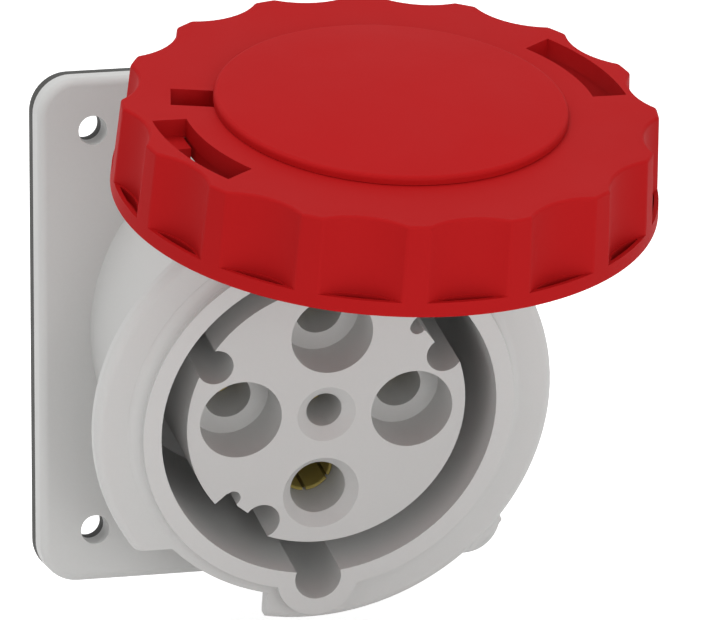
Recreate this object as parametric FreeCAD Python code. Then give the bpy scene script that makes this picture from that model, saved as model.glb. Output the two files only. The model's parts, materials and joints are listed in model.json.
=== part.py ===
import FreeCAD, Part
import math
import os

# Angled panel socket with a hinged bayonet lid, in millimetres.
# The panel's face is the plane y = 0, the front looks along -Y and +Z is up.
# The mouth, its insert and the closed lid share a local frame:
# x across, y up along the mouth's face, z out of the mouth.

# Panel flange
flange_width = 100.0
flange_height = 107.0
flange_corner = 8.0
gasket_thick = 3.2
flange_thick = 5.4
flange_edge_round = 1.8
hole_pitch_x = 77.0
hole_pitch_z = 85.0
hole_radius = 3.05
flange_front = gasket_thick + flange_thick

# Mouth frame
mouth_tilt = 14.0
mouth_rise = 1.7
mouth_reach = 53.7

# Leaning tube and its keyway
tube_outer = 39.3
tube_inner = 35.5
key_centre = -36.7
key_half = 4.9
key_outer = 8.6
floor_front = 8.0
floor_back = 3.0
spigot_outer = 41.0
spigot_back = -6.0

# Bayonet collar
collar_outer = 48.5
collar_depth = 3.5
collar_thick = 3.8
collar_fillet = 2.4
key_fillet = 1.1
notch_floor = 42.5
notch_side = 29.5
block_side = 9.5
stop_bump = 1.0
stop_from = 313.5
stop_to = 325.0

# Contact insert
insert_radius = 29.5
insert_setback = 2.4
insert_neck = 28.3
insert_back = -1.5
shoulder_level = 0.6
carrier_outer = 37.2
carrier_front = 2.7
seal_radius = 30.5
seal_thick = 0.85
contact_circle = 18.16
face = mouth_reach - insert_setback
recess_radius = 8.65
recess_depth = 10.9
running_gap = 0.3
insert_screw_circle = 33.6
insert_screw_angles = (30.0, 150.0, 210.0, 330.0)
block_screw_circle = 22.2
block_screw_angles = (45.0, 135.0, 225.0, 315.0)

# Contact sleeves: pin radius, outer radius, front end, rear radius, rear end
phase_pin = 4.05
phase_tube = 5.6
phase_front = 28.0
phase_rear = 7.4
phase_bore = 4.9
earth_pin = 5.05
earth_tube = 6.6
earth_front = 37.4
earth_rear = 8.0
earth_bore = 5.85
pilot_pin = 3.05
pilot_tube = 4.2
pilot_front = 36.0
pilot_rear = 5.4
pilot_bore = 3.75
pilot_shoulder = 7.2
sleeve_back = -23.6
pilot_back = -34.0
nose_reach = 2.0
nose_gap = 0.3
spring_thick = 0.8
screw_share = 0.62
screw_turns = {"top": 90.0, "left": 180.0, "right": 0.0, "earth": 270.0}

# Terminal block
block_radius = 30.5
block_back = -26.4
sleeve_neck = insert_back - 0.5
pilot_level = (pilot_back + block_back) / 2.0

# Lid, measured closed, from the rim of the mouth outward
ring_top = mouth_reach + 7.5
ring_height = 19.0
ring_bottom = ring_top - ring_height
ring_plate = 3.9
plate_back = ring_top - ring_plate
lobes = 16
lobe_phase = 13.0
lobe_radius_top = 53.7
lobe_radius_bottom = 54.8
scallop_radius = 15.0
valley_top = 50.6
valley_bottom = 51.6
hoop_height = 2.8
wall_upper = 49.2
wall_lower = 50.4
ring_bore = 33.4
dome_radius = 35.4
dome_edge = 1.8
dome_rise = 2.1
dome_round = 0.9
cap_radius = 41.6
cap_front = mouth_reach + 3.5
cap_back = mouth_reach + 0.8
lug_inner = 44.2
lug_thick = 3.5
lug_from = 45.5
lug_to = 73.5
rib_back = mouth_reach - 3.0
rib_from = -0.4
rib_to = 7.0

# Hinge
hinge_up = 50.55
hinge_out = mouth_reach - 24.85
hinge_open = 90.0
knuckle_radius = 5.0
knuckle_half = 10.2
ear_inner = 11.2
ear_thick = 5.0
pin_radius = 2.5
pin_play = 0.05
web_top = 43.0
heel_reach = web_top + 0.3 - hinge_up

X = FreeCAD.Vector(1, 0, 0)
Y = FreeCAD.Vector(0, 1, 0)
Z = FreeCAD.Vector(0, 0, 1)
ORIGIN = FreeCAD.Vector(0, 0, 0)


def vec(x, y, z):
    return FreeCAD.Vector(x, y, z)


# Basic solids along the local z axis
def rod(radius, z0, z1, x=0.0, y=0.0):
    return Part.makeCylinder(radius, z1 - z0, vec(x, y, z0))


def pipe(outer, inner, z0, z1, x=0.0, y=0.0):
    return rod(outer, z0, z1, x, y).cut(rod(inner, z0 - 1, z1 + 1, x, y))


def block(x0, x1, y0, y1, z0, z1):
    return Part.makeBox(x1 - x0, y1 - y0, z1 - z0, vec(x0, y0, z0))


def taper(radius0, radius1, z0, z1, x=0.0, y=0.0):
    return Part.makeCone(radius0, radius1, z1 - z0, vec(x, y, z0))


def sector(inner, outer, start, end, z0, z1):
    pie = Part.makeCylinder(outer, z1 - z0, vec(0, 0, z0), Z, end - start)
    pie.rotate(ORIGIN, Z, start)
    return pie.cut(rod(inner, z0 - 1, z1 + 1))


def prism(points, z0, z1):
    loop = Part.makePolygon([vec(x, y, z0) for x, y in points + points[:1]])
    return Part.Face(loop).extrude(vec(0, 0, z1 - z0))


def side_prism(points, x0, x1):
    # Points are (up, out) pairs; the solid runs across the mirror plane.
    loop = Part.makePolygon([vec(x0, y, z) for y, z in points + points[:1]])
    return Part.Face(loop).extrude(vec(x1 - x0, 0, 0))


def cross_rod(radius, x0, x1, y, z):
    return Part.makeCylinder(radius, x1 - x0, vec(x0, y, z), X)


def polar(radius, angle):
    turn = math.radians(angle)
    return radius * math.cos(turn), radius * math.sin(turn)


def join(first, others):
    return first.fuse(list(others)).removeSplitter()


def spun(shape, angle):
    copy = shape.copy()
    copy.rotate(ORIGIN, Z, angle)
    return copy


# Placing local solids on the panel and opening the lid
def on_mouth(shape):
    copy = shape.copy()
    copy.rotate(ORIGIN, X, 90.0 + mouth_tilt)
    copy.translate(vec(0, 0, mouth_rise))
    return copy


def opened(shape):
    copy = shape.copy()
    copy.rotate(vec(0, hinge_up, hinge_out), X, -hinge_open)
    return on_mouth(copy)


def edges_near(shape, test):
    found = []
    for edge in shape.Edges:
        middle = edge.valueAt((edge.FirstParameter + edge.LastParameter) / 2.0)
        if test(edge, middle):
            found.append(edge)
    return found


# Rounded rectangular plate standing on the panel's plane
def panel_plate(width, height, corner, y0, y1):
    plate = Part.makeBox(width, y1 - y0, height, vec(-width / 2.0, y0, -height / 2.0))
    upright = edges_near(plate, lambda e, m: abs(e.tangentAt(e.FirstParameter).y) > 0.99)
    return plate.makeFillet(corner, upright)


def panel_holes(radius, y0, y1):
    holes = []
    for sx in (-1, 1):
        for sz in (-1, 1):
            at = vec(sx * hole_pitch_x / 2.0, y0, sz * hole_pitch_z / 2.0)
            holes.append(Part.makeCylinder(radius, y1 - y0, at, Y))
    return holes


# Housing
def flange_plate():
    plate = panel_plate(flange_width, flange_height, flange_corner, -flange_front, -gasket_thick)
    front = edges_near(plate, lambda e, m: abs(m.y + flange_front) < 0.01)
    plate = plate.makeFillet(flange_edge_round, front)
    pocket = panel_plate(flange_width - 6.0, flange_height - 6.0, flange_corner - 3.0,
                         -flange_front + 2.8, -gasket_thick + 1.0)
    keep = [on_mouth(rod(spigot_outer + 2.0, -30.0, 30.0))]
    for hole in panel_holes(6.2, -20.0, 10.0):
        keep.append(hole)
    for sz in (-1, 1):
        keep.append(Part.makeBox(2.0, 30.0, 20.0, vec(-1.0, -20.0, sz * 47.0 - 10.0)))
    return plate.cut(pocket.cut(keep))


def foot_fillet(radius, soft, z, y=0.0):
    # Concave ring that softens the corner between a cylinder and the face it stands on
    lip = 0.08
    foot = vec(radius + soft, y, z + lip)
    head = vec(radius + lip, y, z + soft)
    hollow = (soft - lip) * math.sqrt(0.5)
    middle = vec(radius + soft - hollow, y, z + soft - hollow)
    low_out = vec(radius + soft, y, z - 0.3)
    low_in = vec(radius - 1.0, y, z - 0.3)
    high_in = vec(radius - 1.0, y, z + soft)
    edges = [Part.makeLine(foot, low_out), Part.makeLine(low_out, low_in), Part.makeLine(low_in, high_in),
             Part.makeLine(high_in, head), Part.Arc(head, middle, foot).toShape()]
    return Part.Face(Part.Wire(edges)).revolve(vec(0, y, 0), vec(0, 0, 1), 360)


def bayonet_collar():
    front = mouth_reach - collar_depth
    back = front - collar_thick
    disc = rod(collar_outer, back, front)
    outer_front = edges_near(disc, lambda e, m: abs(m.z - front) < 0.01)
    disc = disc.makeFillet(2.0, outer_front)
    outer_back = edges_near(disc, lambda e, m: abs(m.z - back) < 0.01 and e.Length > 100)
    disc = disc.makeFillet(0.6, outer_back)
    bump = sector(collar_outer - 2.0, collar_outer + stop_bump, stop_from, stop_to, back + 0.4, front - 1.2)
    corners = edges_near(bump, lambda e, m: math.hypot(m.x, m.y) > collar_outer + 0.5
                         and abs(e.tangentAt(e.FirstParameter).z) > 0.99)
    disc = join(disc, [bump.makeFillet(0.8, corners)])
    # Entry notches for the lid's lugs, and the gap for the hinge arm
    outside = pipe(70.0, notch_floor, back - 5.0, front + 5.0)
    low_left = block(-60.0, -block_side, -60.0, -notch_side, back - 1.0, front + 1.0)
    high_right = block(-ear_inner, 60.0, notch_side, 60.0, back - 1.0, front + 1.0)
    disc = disc.cut([outside.common(low_left), outside.common(high_right)])
    # Lead-in ramps behind the rails
    ramps = []
    for start, lean in ((27.5, 4.5), (207.5, 4.5)):
        wedge = block(40.0, 52.0, 0.0, 12.0, back - 6.0, back)
        wedge.rotate(vec(0, 0, back), X, lean)
        ramps.append(spun(wedge, start))
    return disc.cut(ramps)


def keyed_outline(radius, key, z0, z1):
    return join(rod(radius, z0, z1), [rod(key, z0, z1, 0.0, key_centre)])


def hinge_ears():
    ears = []
    outline = [(34.0, hinge_out - 9.5), (hinge_up - 6.0, hinge_out - 6.6), (hinge_up, hinge_out - 5.5),
               (hinge_up, hinge_out + 5.5), (hinge_up - 5.0, hinge_out + 6.4), (34.0, hinge_out + 11.0)]
    for x0 in (ear_inner, -ear_inner - ear_thick):
        plate = side_prism(outline, x0, x0 + ear_thick)
        ears.append(join(plate, [cross_rod(5.5, x0, x0 + ear_thick, hinge_up, hinge_out)]))
    web = side_prism([(34.0, hinge_out - 9.5), (web_top, hinge_out - 7.0), (web_top, hinge_out - 4.6),
                      (34.0, hinge_out - 4.6)], -ear_inner - 1.0, ear_inner + 1.0)
    return ears + [web]


def make_housing():
    behind = Part.makeBox(200, 200, 200, vec(-100, -gasket_thick - 0.4, -100))
    before = Part.makeBox(200, 200, 200, vec(-100, -flange_front + 0.6 - 200, -100))
    tube = on_mouth(join(rod(tube_outer, -20.0, mouth_reach), [rod(key_outer, -12.0, mouth_reach, 0, key_centre)]))
    tube = tube.cut(behind)
    spigot = on_mouth(rod(spigot_outer, spigot_back, 22.0)).cut(before)
    collar_front = mouth_reach - collar_depth
    feet = [foot_fillet(tube_outer, collar_fillet, collar_front),
            foot_fillet(key_outer, key_fillet, collar_front, key_centre)]
    front_parts = join(bayonet_collar(), feet + hinge_ears())
    solid = join(flange_plate(), [spigot, tube, on_mouth(front_parts)])
    # Everything inside the tube
    gap = keyed_outline(tube_inner, key_half, floor_front, mouth_reach + 2.0)
    passage = rod(insert_radius + running_gap, floor_back - 1.0, floor_front + 1.0)
    seat = rod(carrier_outer + running_gap, -40.0, floor_back)
    cavity = join(gap, [passage, seat])
    pin_hole = cross_rod(pin_radius, -ear_inner - ear_thick - 1, ear_inner + ear_thick + 1, hinge_up, hinge_out)
    pilots = []
    for angle in insert_screw_angles:
        x, y = polar(insert_screw_circle, angle)
        pilots.append(rod(1.5, floor_back - 1.0, floor_front - 0.9, x, y))
    solid = solid.cut([on_mouth(cavity), on_mouth(pin_hole)] + [on_mouth(p) for p in pilots])
    solid = solid.cut(panel_holes(hole_radius, -20.0, 5.0))
    return solid.removeSplitter()


def make_panel_gasket():
    sheet = panel_plate(flange_width, flange_height, flange_corner, -gasket_thick, 0.0)
    opening = Part.makeCylinder(44.0, 10.0, vec(0, -6, 1.5), Y)
    return sheet.cut([opening] + panel_holes(hole_radius, -6.0, 5.0))


# Contact insert with its wells, bores and edge grooves
def contact_centres():
    return {"top": (0.0, contact_circle), "left": (-contact_circle, 0.0),
            "right": (contact_circle, 0.0), "earth": (0.0, -contact_circle)}


def edge_grooves():
    cuts = []
    for x, y in ((24.3, 12.0), (-24.3, 12.4), (-12.2, -23.9)):
        cuts.append(rod(3.8, 12.0, face + 1.0, x, y))
    wedge = [(-20.0, -16.9), (-23.6, -20.2), (-26.0, -32.0), (-12.2, -32.0), (-12.2, -24.0), (-15.4, -21.7),
             (-17.6, -20.0), (-18.7, -18.1)]
    mirrored = [(-y, -x) for x, y in wedge]
    cuts.append(prism(wedge, 12.0, face + 1.0))
    cuts.append(prism(mirrored, 12.0, face + 1.0))
    cuts.append(rod(1.6, 12.0, face + 1.0, -18.7, -18.1))
    cuts.append(rod(1.6, 12.0, face + 1.0, 18.1, 18.7))
    return cuts


def make_insert_body():
    centres = contact_centres()
    body = join(rod(insert_radius, shoulder_level, face), [rod(insert_neck, insert_back, shoulder_level)])
    cuts = edge_grooves()
    for name in ("top", "left", "right"):
        x, y = centres[name]
        cuts.append(rod(recess_radius, face - recess_depth, face + 1.0, x, y))
        cuts.append(rod(phase_bore, phase_front, face, x, y))
        cuts.append(rod(phase_tube + spring_thick + 0.3, insert_back - 1.0, phase_front + 0.3, x, y))
    x, y = centres["earth"]
    cuts.append(taper(earth_bore, 8.06, face - 2.6, face, x, y))
    cuts.append(rod(earth_bore, earth_front - 1.0, face, x, y))
    cuts.append(rod(earth_tube + spring_thick + 0.3, insert_back - 1.0, earth_front + 0.3, x, y))
    cuts.append(taper(pilot_bore, 6.19, face - 2.06, face))
    cuts.append(rod(pilot_bore, pilot_front - 1.0, face))
    cuts.append(rod(pilot_tube + spring_thick + 0.3, insert_back - 1.0, pilot_front + 0.3))
    for angle in block_screw_angles:
        x, y = polar(block_screw_circle, angle)
        cuts.append(rod(1.6, insert_back - 1.0, 8.0, x, y))
    # Coring from the rear, between the contacts
    for angle in (0.0, 90.0, 180.0, 270.0):
        cuts.append(sector(12.0, 15.0, angle + 33.0, angle + 57.0, insert_back - 1.0, face - 4.0))
    return body.cut(cuts).removeSplitter()


# Ring held between the insert's shoulder and the terminal block, screwed to the housing's floor
def make_carrier_ring():
    pocket = floor_back - 2.0 * seal_thick - 0.25
    body = rod(carrier_outer, insert_back, carrier_front)
    cuts = [rod(insert_neck + running_gap, insert_back - 1.0, carrier_front + 1.0),
            rod(insert_radius + running_gap, shoulder_level - running_gap, carrier_front + 1.0),
            rod(seal_radius + seal_thick + 0.05, pocket, carrier_front + 1.0)]
    for angle in insert_screw_angles:
        x, y = polar(insert_screw_circle, angle)
        cuts.append(rod(1.9, insert_back - 1.0, carrier_front + 1.0, x, y))
    return body.cut(cuts).removeSplitter()


def make_insert_seal():
    return Part.makeTorus(seal_radius, seal_thick, vec(0, 0, floor_back - seal_thick - 0.05))


# Slotted socket sleeve with a clamping head behind
def socket_sleeve(pin, tube, lip, front, rear, back, slots, x, y, screw_angle, levels):
    neck = sleeve_neck
    tip = front + nose_reach
    body = join(rod(tube, neck - 1.0, front), [rod(rear, back, neck), rod(lip - nose_gap, front - 1.0, tip)])
    cuts = [rod(pin, neck - 2.0, tip + 1.0), taper(pin, pin + 0.3, tip - 0.4, tip)]
    cuts.append(rod(pin - 0.1, back - 1.0, neck - 6.0))
    for k in range(slots):
        slot = block(0.0, tube + 1.0, -0.4, 0.4, front - 22.0, tip + 1.0)
        cuts.append(spun(slot, 360.0 * (k + 0.5) / slots))
    for z in levels:
        hole = Part.makeCylinder(pin * screw_share, rear + 2.0, vec(0, 0, z), X)
        cuts.append(spun(hole, screw_angle))
    body = body.cut(cuts)
    body.translate(vec(x, y, 0))
    return body


def screw_levels():
    length = sleeve_neck - 6.0 - sleeve_back
    return (sleeve_back + length * 0.28, sleeve_back + length * 0.74)


def spring_ring(tube, front, x, y):
    ring = pipe(tube + spring_thick, tube + 0.03, front - 8.0, front - 3.5)
    gap = block(0.0, tube + 3.0, -0.9, 0.9, front - 9.0, front)
    ring = ring.cut(spun(gap, 45.0))
    ring.translate(vec(x, y, 0))
    return ring


def clamp_screw(pin, rear, z, x, y, angle):
    # Slotted grub screw, backed out so that the wire's bore is free
    stem = Part.makeCylinder(pin * screw_share - 0.06, rear + 0.9 - pin, vec(pin + 0.3, 0, z), X)
    slot = Part.makeBox(1.2, 6.0, 0.7, vec(rear + 0.2, -3.0, z - 0.35))
    screw = spun(stem.cut(slot), angle)
    screw.translate(vec(x, y, 0))
    return screw


def contact_parts():
    centres = contact_centres()
    parts = {}
    springs = []
    screws = []
    for name in ("top", "left", "right"):
        x, y = centres[name]
        parts["phase_sleeve_" + name] = socket_sleeve(phase_pin, phase_tube, phase_bore, phase_front, phase_rear,
                                                      sleeve_back, 4, x, y, screw_turns[name], screw_levels())
        springs.append(spring_ring(phase_tube, phase_front, x, y))
        for z in screw_levels():
            screws.append(clamp_screw(phase_pin, phase_rear, z, x, y, screw_turns[name]))
    x, y = centres["earth"]
    parts["earth_sleeve"] = socket_sleeve(earth_pin, earth_tube, earth_bore, earth_front, earth_rear, sleeve_back,
                                          6, x, y, screw_turns["earth"], screw_levels())
    parts["earth_spring_ring"] = spring_ring(earth_tube, earth_front, x, y)
    for z in screw_levels():
        screws.append(clamp_screw(earth_pin, earth_rear, z, x, y, screw_turns["earth"]))
    pilot = socket_sleeve(pilot_pin, pilot_tube, pilot_bore, pilot_front, pilot_rear, pilot_back,
                          4, 0, 0, 45.0, [pilot_level])
    shoulder = pipe(pilot_shoulder, pilot_rear - 0.5, sleeve_neck - 2.5, sleeve_neck)
    parts["pilot_sleeve"] = join(pilot, [shoulder])
    parts["pilot_spring_ring"] = spring_ring(pilot_tube, pilot_front, 0, 0)
    parts["pilot_screw"] = clamp_screw(pilot_pin, pilot_rear, pilot_level, 0, 0, 45.0)
    parts["phase_spring_rings"] = Part.makeCompound(springs)
    parts["terminal_screws"] = Part.makeCompound(screws)
    return parts


# Rear block that holds the terminals
def make_terminal_block():
    centres = contact_centres()
    front = insert_back
    body = rod(block_radius, block_back, front)
    rear_edge = edges_near(body, lambda e, m: abs(m.z - block_back) < 0.01)
    body = body.makeFillet(1.5, rear_edge)
    cuts = []
    for name in ("top", "left", "right", "earth"):
        x, y = centres[name]
        rear = earth_rear if name == "earth" else phase_rear
        cuts.append(rod(rear + 0.3, sleeve_back - 0.2, front + 1.0, x, y))
        cuts.append(rod(rear - 2.4, block_back - 1.0, sleeve_back, x, y))
        cuts.append(taper(rear - 0.9, rear - 2.4, block_back - 0.01, block_back + 1.5, x, y))
    cuts.append(rod(pilot_rear + 0.3, block_back - 1.0, front + 1.0))
    cuts.append(rod(pilot_shoulder + 0.3, sleeve_neck - 2.7, front + 1.0))
    for name, angle in screw_turns.items():
        pin = earth_pin if name == "earth" else phase_pin
        for z in screw_levels():
            window = Part.makeCylinder(pin * screw_share + 0.4, 14.0, vec(contact_circle + 6.0, 0, z), X)
            cuts.append(spun(window, angle))
    for angle in block_screw_angles:
        x, y = polar(block_screw_circle, angle)
        cuts.append(rod(2.2, block_back - 1.0, front + 1.0, x, y))
        cuts.append(rod(3.9, block_back - 1.0, block_back + 4.0, x, y))
        flat = sector(27.0, 32.0, angle - 9.0, angle + 9.0, block_back + 6.0, front - 4.0)
        cuts.append(flat)
    return body.cut(cuts).removeSplitter()


def pan_screw(shank, length, head, head_high, z, x, y, outward):
    # The head's seat is at z; the shank runs along outward.
    if outward > 0:
        body = join(rod(shank, z, z + length), [rod(head, z - head_high, z)])
        slot = block(-head - 1, head + 1, -0.5, 0.5, z - head_high - 1, z - head_high + 0.9)
        cross = block(-0.5, 0.5, -head * 0.6, head * 0.6, z - head_high - 1, z - head_high + 0.9)
    else:
        body = join(rod(shank, z - length, z), [rod(head, z, z + head_high)])
        slot = block(-head - 1, head + 1, -0.5, 0.5, z + head_high - 0.9, z + head_high + 1)
        cross = block(-0.5, 0.5, -head * 0.6, head * 0.6, z + head_high - 0.9, z + head_high + 1)
    body = body.cut([slot.common(rod(head * 0.62, z - 20, z + 20)), cross])
    body.translate(vec(x, y, 0))
    return body


def make_block_screws():
    screws = []
    for angle in block_screw_angles:
        x, y = polar(block_screw_circle, angle)
        screws.append(pan_screw(1.55, 29.0, 3.5, 2.4, block_back + 4.0, x, y, 1))
    return Part.makeCompound(screws)


def make_insert_screws():
    screws = []
    for angle in insert_screw_angles:
        x, y = polar(insert_screw_circle, angle)
        screws.append(pan_screw(1.45, 8.2, 3.0, 2.0, insert_back, x, y, 1))
    return Part.makeCompound(screws)


# Bayonet ring, built closed on the mouth's axis
def scallop_cutter(angle):
    high = ring_bottom + hoop_height
    lean = math.degrees(math.atan2(valley_bottom - valley_top, ring_top - high))
    post = Part.makeCylinder(scallop_radius, 30.0, vec(valley_bottom + scallop_radius, 0, high))
    post.rotate(vec(valley_bottom, 0, high), Y, -lean)
    flat = block(40.0, 90.0, -20.0, 20.0, high - 20.0, high)
    return spun(post.cut(flat), angle)


def make_bayonet_ring():
    high = ring_bottom + hoop_height
    shell = taper(lobe_radius_bottom, lobe_radius_top, ring_bottom, ring_top)
    step = 360.0 / lobes
    shell = shell.cut([scallop_cutter(lobe_phase + step * (k + 0.5)) for k in range(lobes)])
    soft = edges_near(shell, lambda e, m: high + 1.0 < m.z < ring_top - 1.0 and abs(e.tangentAt(e.FirstParameter).z) > 0.9
                      and math.hypot(m.x, m.y) > 52.0)
    shell = shell.makeFillet(1.3, soft)
    rim = edges_near(shell, lambda e, m: abs(m.z - ring_top) < 0.01)
    shell = shell.makeFillet(0.7, rim)
    # Pockets between the hoop and the foot of each scallop
    pockets = []
    for k in range(lobes):
        angle = lobe_phase + step * (k + 0.5)
        post = rod(scallop_radius - 0.4, ring_bottom + 0.9, high + 0.5, valley_bottom + scallop_radius, 0)
        pockets.append(spun(post.common(rod(lobe_radius_bottom - 1.1, ring_bottom, high + 1.0)), angle))
    hollow = join(rod(wall_upper, mouth_reach - 3.0, plate_back), [rod(wall_lower, ring_bottom - 1, mouth_reach - 3.0)])
    shell = shell.cut(pockets + [hollow, rod(ring_bore, plate_back - 1, ring_top + 1)])
    # Arc windows and the small square window in the plate
    arcs = [sector(41.9, 48.9, start, start + 34.3, plate_back - 0.5, ring_top + 1) for start in (-0.4, 179.6)]
    square = block(33.0, 43.8, -3.7, 3.8, plate_back - 0.5, ring_top + 1)
    shell = shell.cut(arcs + [spun(square, 165.9)])
    # Bayonet lugs, and the ribs whose tips meet the collar's stops
    added = []
    for turn in (0.0, 180.0):
        lug = sector(lug_inner, wall_lower + 0.5, lug_from, lug_to, ring_bottom, ring_bottom + lug_thick)
        lead = block(40.0, 54.0, -10.0, 2.4, ring_bottom + lug_thick, ring_bottom + lug_thick + 8.0)
        lead.rotate(vec(0, 2.4, ring_bottom + lug_thick), X, 12.0)
        lug = lug.cut(spun(lead, lug_from))
        rib = sector(42.4, wall_upper + 0.6, rib_from - 2.0, rib_to, rib_back, plate_back + 0.1)
        tip = sector(49.0, wall_lower + 0.5, rib_from, rib_to, mouth_reach - 8.2, mouth_reach - 2.0)
        added += [spun(lug, turn), spun(rib, turn), spun(tip, turn)]
    return shell.fuse(added)


def crown_height(radius):
    big = (dome_radius ** 2 + dome_rise ** 2) / (2.0 * dome_rise)
    return ring_top + dome_edge + dome_rise - big + math.sqrt(big ** 2 - radius ** 2)


def make_lid_dome():
    low = ring_top + 0.1
    edge = ring_top + dome_edge
    inner = dome_radius - dome_round
    # Half section: rim, rounded edge, shallow crown and the gate mark's tiny flat in the middle
    points = [vec(0, 0, low), vec(dome_radius, 0, low), vec(dome_radius, 0, edge - dome_round),
              vec(dome_radius - 0.27 * dome_round, 0, edge - 0.23 * dome_round), vec(inner, 0, crown_height(inner)),
              vec(dome_radius * 0.6, 0, crown_height(dome_radius * 0.6)), vec(0.5, 0, crown_height(0.5)),
              vec(0, 0, crown_height(0.5))]
    sides = [Part.makeLine(points[0], points[1]), Part.makeLine(points[1], points[2]),
             Part.Arc(points[2], points[3], points[4]).toShape(), Part.Arc(points[4], points[5], points[6]).toShape(),
             Part.makeLine(points[6], points[7]), Part.makeLine(points[7], points[0])]
    top = Part.Face(Part.Wire(sides)).revolve(ORIGIN, Z, 360)
    skirt = pipe(ring_bore - running_gap, ring_bore - 2.8, cap_front, low)
    bosses = []
    holes = []
    for k in range(3):
        x, y = polar(24.0, 30.0 + 120.0 * k)
        bosses.append(rod(3.6, cap_front, low, x, y))
        holes.append(rod(1.2, cap_front - 1.0, edge - 0.6, x, y))
    ribs = [spun(block(3.0, ring_bore - 2.0, -0.7, 0.7, low - 1.6, low), 90.0 + 120.0 * k) for k in range(3)]
    hub = rod(4.0, low - 1.6, low)
    return join(top, [skirt, hub] + bosses + ribs).cut(holes)


def make_dome_screws():
    screws = []
    for k in range(3):
        x, y = polar(24.0, 30.0 + 120.0 * k)
        screws.append(pan_screw(1.15, 6.2, 2.6, 1.6, cap_back, x, y, 1))
    return Part.makeCompound(screws)


def make_lid_cap():
    plate = keyed_outline(cap_radius, 9.7, cap_back, cap_front)
    arm = side_prism([(38.0, cap_back), (43.6, cap_back), (43.6, hinge_out), (50.0, hinge_out),
                      (48.4, hinge_out + 6.0), (48.4, cap_front), (38.0, cap_front)], -knuckle_half, knuckle_half)
    bent = edges_near(arm, lambda e, m: abs(m.y - 43.6) < 0.1 and abs(m.z - cap_back) < 0.1)
    arm = arm.makeFillet(3.0, bent)
    upper = block(-20, 20, 30, 60, hinge_out + 12.0, cap_front + 1)
    arm = arm.cut(upper.cut(rod(48.6, hinge_out + 11.0, cap_front + 2)))
    knuckle = cross_rod(knuckle_radius, -knuckle_half, knuckle_half, hinge_up, hinge_out)
    # Heel that comes to rest on the web between the ears when the lid is open
    heel = side_prism([(hinge_up, hinge_out - 3.0), (hinge_up + 4.0, hinge_out + heel_reach),
                       (hinge_up + 7.0, hinge_out + heel_reach), (hinge_up + 4.9, hinge_out - 1.0),
                       (hinge_up, hinge_out)], -knuckle_half + 2.2, knuckle_half - 2.2)
    body = join(plate, [arm, knuckle, heel])
    groove = join(rod(41.0, cap_back - 1, cap_back + 1.2), [rod(9.1, cap_back - 1, cap_back + 1.2, 0, key_centre)])
    inner = join(rod(33.4, cap_back - 2, cap_back + 3), [rod(2.6, cap_back - 2, cap_back + 3, 0, key_centre + 1.5)])
    cuts = [groove.cut(inner), cross_rod(pin_radius + pin_play, -30, 30, hinge_up, hinge_out)]
    for k in range(3):
        x, y = polar(24.0, 30.0 + 120.0 * k)
        cuts.append(rod(1.45, cap_back - 1, cap_front + 1, x, y))
    window = rod(14.0, cap_back - 1, cap_back + 1.0)
    cuts.append(window)
    return body.cut(cuts).removeSplitter()


def make_lid_seal():
    outer = join(rod(40.7, mouth_reach + 0.05, cap_back + 1.2),
                 [rod(8.8, mouth_reach + 0.05, cap_back + 1.2, 0, key_centre)])
    inner = join(rod(33.7, mouth_reach - 2, cap_back + 3),
                 [rod(2.9, mouth_reach - 2, cap_back + 3, 0, key_centre + 1.5)])
    return outer.cut(inner)


# Hinge parts
def make_hinge_pin():
    long = ear_inner + ear_thick + 2.2
    pin = cross_rod(pin_radius - 0.02, -long, long, hinge_up, hinge_out)
    grooves = []
    for side in (-1, 1):
        x0 = side * (ear_inner + ear_thick + 0.2)
        lo, hi = min(x0, x0 + side * 0.8), max(x0, x0 + side * 0.8)
        ring = cross_rod(pin_radius + 1, lo, hi, hinge_up, hinge_out)
        grooves.append(ring.cut(cross_rod(pin_radius - 0.5, lo - 1, hi + 1, hinge_up, hinge_out)))
    return pin.cut(grooves)


def make_pin_clips():
    clips = []
    for side in (-1, 1):
        x0 = side * (ear_inner + ear_thick + 0.25)
        lo, hi = min(x0, x0 + side * 0.7), max(x0, x0 + side * 0.7)
        clip = cross_rod(pin_radius + 1.6, lo, hi, hinge_up, hinge_out)
        clip = clip.cut(cross_rod(pin_radius - 0.45, lo - 1, hi + 1, hinge_up, hinge_out))
        mouth = Part.makeBox(4.0, 6.0, 2.6, vec(lo - 1, hinge_up, hinge_out - 1.3))
        clips.append(clip.cut(mouth))
    return Part.makeCompound(clips)


def make_hinge_washers():
    washers = []
    for side in (-1, 1):
        x0 = side * (knuckle_half + 0.1)
        lo, hi = min(x0, x0 + side * 0.8), max(x0, x0 + side * 0.8)
        ring = cross_rod(knuckle_radius - 0.3, lo, hi, hinge_up, hinge_out)
        washers.append(ring.cut(cross_rod(pin_radius + pin_play, lo - 1, hi + 1, hinge_up, hinge_out)))
    return Part.makeCompound(washers)


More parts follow.
